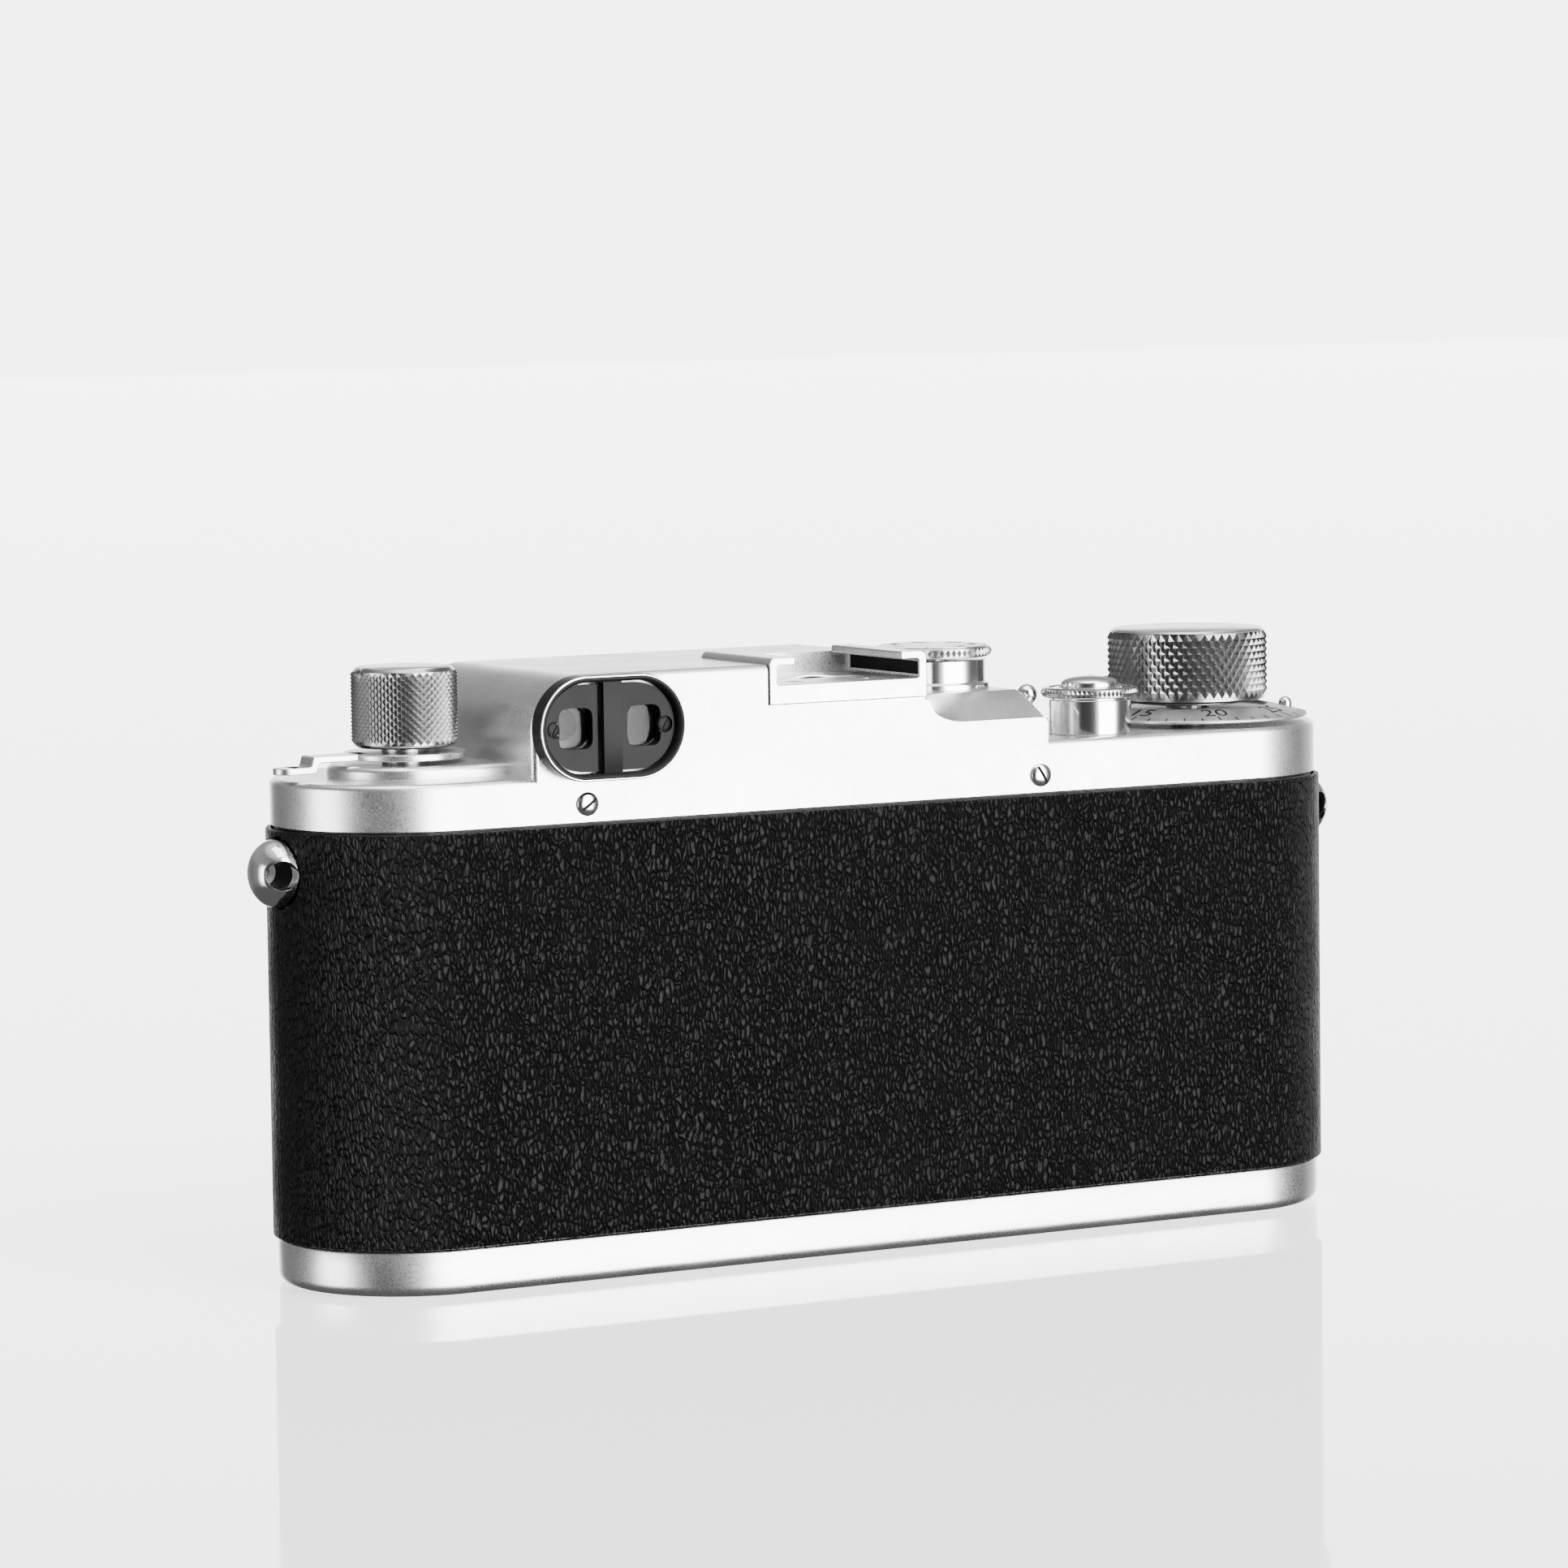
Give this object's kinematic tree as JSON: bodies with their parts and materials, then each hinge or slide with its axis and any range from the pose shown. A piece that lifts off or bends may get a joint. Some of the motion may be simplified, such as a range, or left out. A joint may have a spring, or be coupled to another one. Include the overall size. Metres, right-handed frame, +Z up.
{
  "type": "rangefinder camera",
  "caption": "35 mm rangefinder camera with chrome top and base plates, black covering, knurled controls, accessory shoe and a collapsible screw-mount lens",
  "frame": {"origin": "middle of the base plate's underside", "axes": "+X towards the rewind end, +Y out of the back, -Y along the lens, +Z up"},
  "size_m": [0.143, 0.0616, 0.0689],
  "materials": {
    "base_plate": "satin chrome plating, fine grained",
    "top_cover": "satin chrome plating, fine grained",
    "accessory_shoe": "satin chrome plating, fine grained",
    "counter_dial": "satin chrome plating, fine grained",
    "diopter_lever": "satin chrome plating, fine grained",
    "speed_dial": "satin chrome plating, fine grained",
    "slow_speed_dial": "satin chrome plating, fine grained",
    "lens_mount_ring": "satin chrome plating, fine grained",
    "focus_ring": "satin chrome plating, fine grained",
    "lens_carrier": "satin chrome plating, fine grained",
    "aperture_ring": "satin chrome plating, fine grained",
    "base_lock_disc": "bright polished chrome",
    "base_lock_key": "bright polished chrome",
    "strap_lug_left": "bright polished chrome",
    "strap_lug_right": "bright polished chrome",
    "cover_screw_rear_left": "bright polished chrome",
    "cover_screw_rear_right": "bright polished chrome",
    "cover_screw_front_left": "bright polished chrome",
    "cover_screw_front_right": "bright polished chrome",
    "range_window_ring_left": "bright polished chrome",
    "range_window_ring_right": "bright polished chrome",
    "finder_window_frame": "bright polished chrome",
    "wind_knob": "bright polished chrome",
    "rewind_knob": "bright polished chrome",
    "release_collar": "bright polished chrome",
    "release_ring": "bright polished chrome",
    "release_button": "bright polished chrome",
    "advance_rewind_lever": "bright polished chrome",
    "speed_dial_column": "bright polished chrome",
    "lens_flange": "bright polished chrome",
    "lens_tube": "bright polished chrome",
    "eyepiece_bezel": "glossy black enamel",
    "eyepiece_plate_rangefinder": "glossy black enamel",
    "eyepiece_plate_finder": "glossy black enamel",
    "take_up_spool": "glossy black enamel",
    "body_covering": "black vulcanite with a wrinkled grain",
    "body_shell": "matt black on light alloy",
    "optical_block": "matt black on light alloy",
    "shutter_crate": "matt black on light alloy",
    "film_gate": "matt black on light alloy",
    "tripod_bush": "plain machined steel",
    "base_catch_stud": "plain machined steel",
    "shoe_spring": "plain machined steel",
    "wind_shaft": "plain machined steel",
    "sprocket_drum": "plain machined steel",
    "rewind_shaft": "plain machined steel",
    "speed_spindle": "plain machined steel",
    "curtain_drum": "plain machined steel",
    "curtain_roller": "plain machined steel",
    "pressure_plate": "plain machined steel",
    "rangefinder_arm": "plain machined brass",
    "shutter_curtain": "rubberised black silk",
    "eyepiece_glass_rangefinder": "clear polished optical glass",
    "eyepiece_glass_finder": "clear polished optical glass",
    "range_window_glass_left": "clear polished optical glass",
    "range_window_glass_right": "clear polished optical glass",
    "finder_window_glass": "clear polished optical glass",
    "front_glass": "clear polished optical glass",
    "rear_glass": "clear polished optical glass"
  },
  "bodies": {
    "camera": {"top_cover": "top_cover", "accessory_shoe": "accessory_shoe", "lens_mount_ring": "lens_mount_ring", "strap_lug_left": "strap_lug_left", "strap_lug_right": "strap_lug_right", "cover_screw_rear_left": "cover_screw_rear_left", "cover_screw_rear_right": "cover_screw_rear_right", "cover_screw_front_left": "cover_screw_front_left", "cover_screw_front_right": "cover_screw_front_right", "range_window_ring_left": "range_window_ring_left", "range_window_ring_right": "range_window_ring_right", "finder_window_frame": "finder_window_frame", "release_collar": "release_collar", "release_ring": "release_ring", "speed_dial_column": "speed_dial_column", "lens_flange": "lens_flange", "eyepiece_bezel": "eyepiece_bezel", "eyepiece_plate_rangefinder": "eyepiece_plate_rangefinder", "eyepiece_plate_finder": "eyepiece_plate_finder", "body_covering": "body_covering", "body_shell": "body_shell", "optical_block": "optical_block", "shutter_crate": "shutter_crate", "film_gate": "film_gate", "base_catch_stud": "base_catch_stud", "shoe_spring": "shoe_spring", "pressure_plate": "pressure_plate", "shutter_curtain": "shutter_curtain", "eyepiece_glass_rangefinder": "eyepiece_glass_rangefinder", "eyepiece_glass_finder": "eyepiece_glass_finder", "range_window_glass_left": "range_window_glass_left", "range_window_glass_right": "range_window_glass_right", "finder_window_glass": "finder_window_glass"},
    "wind": {"wind_knob": "wind_knob", "wind_shaft": "wind_shaft"},
    "counter": {"counter_dial": "counter_dial"},
    "take_up": {"take_up_spool": "take_up_spool"},
    "sprocket": {"sprocket_drum": "sprocket_drum"},
    "rewind_fork": {"rewind_shaft": "rewind_shaft"},
    "rewind_knob": {"rewind_knob": "rewind_knob"},
    "diopter": {"diopter_lever": "diopter_lever"},
    "button": {"release_button": "release_button"},
    "advance_lever": {"advance_rewind_lever": "advance_rewind_lever"},
    "speed_spindle": {"speed_spindle": "speed_spindle"},
    "speed_dial": {"speed_dial": "speed_dial"},
    "slow_dial": {"slow_speed_dial": "slow_speed_dial"},
    "focus": {"focus_ring": "focus_ring"},
    "carrier": {"lens_carrier": "lens_carrier"},
    "tube": {"lens_tube": "lens_tube", "front_glass": "front_glass", "rear_glass": "rear_glass"},
    "aperture": {"aperture_ring": "aperture_ring"},
    "rangefinder_arm": {"rangefinder_arm": "rangefinder_arm"},
    "base": {"base_plate": "base_plate", "tripod_bush": "tripod_bush"},
    "lock": {"base_lock_disc": "base_lock_disc"},
    "key": {"base_lock_key": "base_lock_key"},
    "drum": {"curtain_drum": "curtain_drum"},
    "roller": {"curtain_roller": "curtain_roller"}
  },
  "joints": [
    {"name": "wind_spin", "type": "hinge", "parent": "camera", "child": "wind", "pos_m": [-0.0524, 0, 0.06], "axis": [0, 0, 1], "continuous": true},
    {"name": "counter_turn", "type": "hinge", "parent": "camera", "child": "counter", "pos_m": [-0.0524, 0, 0.058], "axis": [0, 0, 1], "continuous": true},
    {"name": "take_up_turn", "type": "hinge", "parent": "camera", "child": "take_up", "pos_m": [-0.0524, 0, 0.03], "axis": [0, 0, 1], "continuous": true},
    {"name": "sprocket_turn", "type": "hinge", "parent": "camera", "child": "sprocket", "pos_m": [-0.038, 0.0035, 0.03], "axis": [0, 0, 1], "continuous": true},
    {"name": "rewind_spin", "type": "hinge", "parent": "camera", "child": "rewind_fork", "pos_m": [0.0522, 0, 0.05], "axis": [0, 0, 1], "continuous": true},
    {"name": "rewind_lift", "type": "slide", "parent": "rewind_fork", "child": "rewind_knob", "axis": [0, 0, 1], "range_m": [0, 0.004]},
    {"name": "diopter_swing", "type": "hinge", "parent": "camera", "child": "diopter", "pos_m": [0.0522, 0, 0.059], "axis": [0, 0, 1], "range_deg": [-60, 25]},
    {"name": "release_press", "type": "slide", "parent": "camera", "child": "button", "axis": [0, 0, -1], "range_m": [0, 0.0018], "stiffness_N_per_m": 400},
    {"name": "advance_rewind_swing", "type": "hinge", "parent": "camera", "child": "advance_lever", "pos_m": [-0.0295, -0.009, 0.058], "axis": [0, 0, -1], "range_deg": [0, 60]},
    {"name": "speed_dial_lift", "type": "slide", "parent": "camera", "child": "speed_spindle", "axis": [0, 0, 1], "range_m": [0, 0.0015]},
    {"name": "speed_dial_turn", "type": "hinge", "parent": "speed_spindle", "child": "speed_dial", "pos_m": [-0.0168, 0, 0.067], "axis": [0, 0, 1], "range_deg": [0, 300]},
    {"name": "slow_speed_turn", "type": "hinge", "parent": "camera", "child": "slow_dial", "pos_m": [-0.0273, -0.0157, 0.0402], "axis": [0, -1, 0], "range_deg": [0, 250]},
    {"name": "base_plate_swing", "type": "hinge", "parent": "camera", "child": "base", "pos_m": [-0.0672, 0, 0.0052], "axis": [0, 1, 0], "range_deg": [0, 25]},
    {"name": "base_lock_turn", "type": "hinge", "parent": "base", "child": "lock", "pos_m": [0.05, 0, 0.002], "axis": [0, 0, 1], "range_deg": [0, 180]},
    {"name": "base_key_fold", "type": "hinge", "parent": "lock", "child": "key", "pos_m": [0.05, 0, 0.0005], "axis": [0, 1, 0], "range_deg": [0, 90]},
    {"name": "focus_turn", "type": "hinge", "parent": "camera", "child": "focus", "pos_m": [0, -0.02, 0.02825], "axis": [0, -1, 0], "range_deg": [0, 165]},
    {"name": "lens_extend", "type": "slide", "parent": "camera", "child": "carrier", "axis": [0, -1, 0], "range_m": [0, 0.0028]},
    {"name": "rangefinder_follow", "type": "hinge", "parent": "camera", "child": "rangefinder_arm", "pos_m": [0.02, -0.008, 0.05], "axis": [0, 0, 1], "range_deg": [0, 8.05]},
    {"name": "lens_collapse", "type": "slide", "parent": "carrier", "child": "tube", "axis": [0, 1, 0], "range_m": [0, 0.015]},
    {"name": "aperture_turn", "type": "hinge", "parent": "tube", "child": "aperture", "pos_m": [0, -0.042, 0.02825], "axis": [0, -1, 0], "range_deg": [0, 60]},
    {"name": "shutter_drum_turn", "type": "hinge", "parent": "camera", "child": "drum", "pos_m": [-0.0215, 0.0045, 0.03], "axis": [0, 0, 1], "range_deg": [0, 330]},
    {"name": "shutter_roller_turn", "type": "hinge", "parent": "camera", "child": "roller", "pos_m": [0.0215, 0.0055, 0.03], "axis": [0, 0, 1], "range_deg": [0, 340]}
  ],
  "couplings": [
    {"joint": "counter_turn", "follows": "wind_spin", "ratio": 0.025},
    {"joint": "take_up_turn", "follows": "wind_spin", "ratio": 1},
    {"joint": "sprocket_turn", "follows": "wind_spin", "ratio": -1},
    {"joint": "lens_extend", "follows": "focus_turn", "m_per_rad": 0.00097},
    {"joint": "rangefinder_follow", "follows": "focus_turn", "ratio": 0.0486},
    {"joint": "shutter_roller_turn", "follows": "shutter_drum_turn", "ratio": 1}
  ]
}
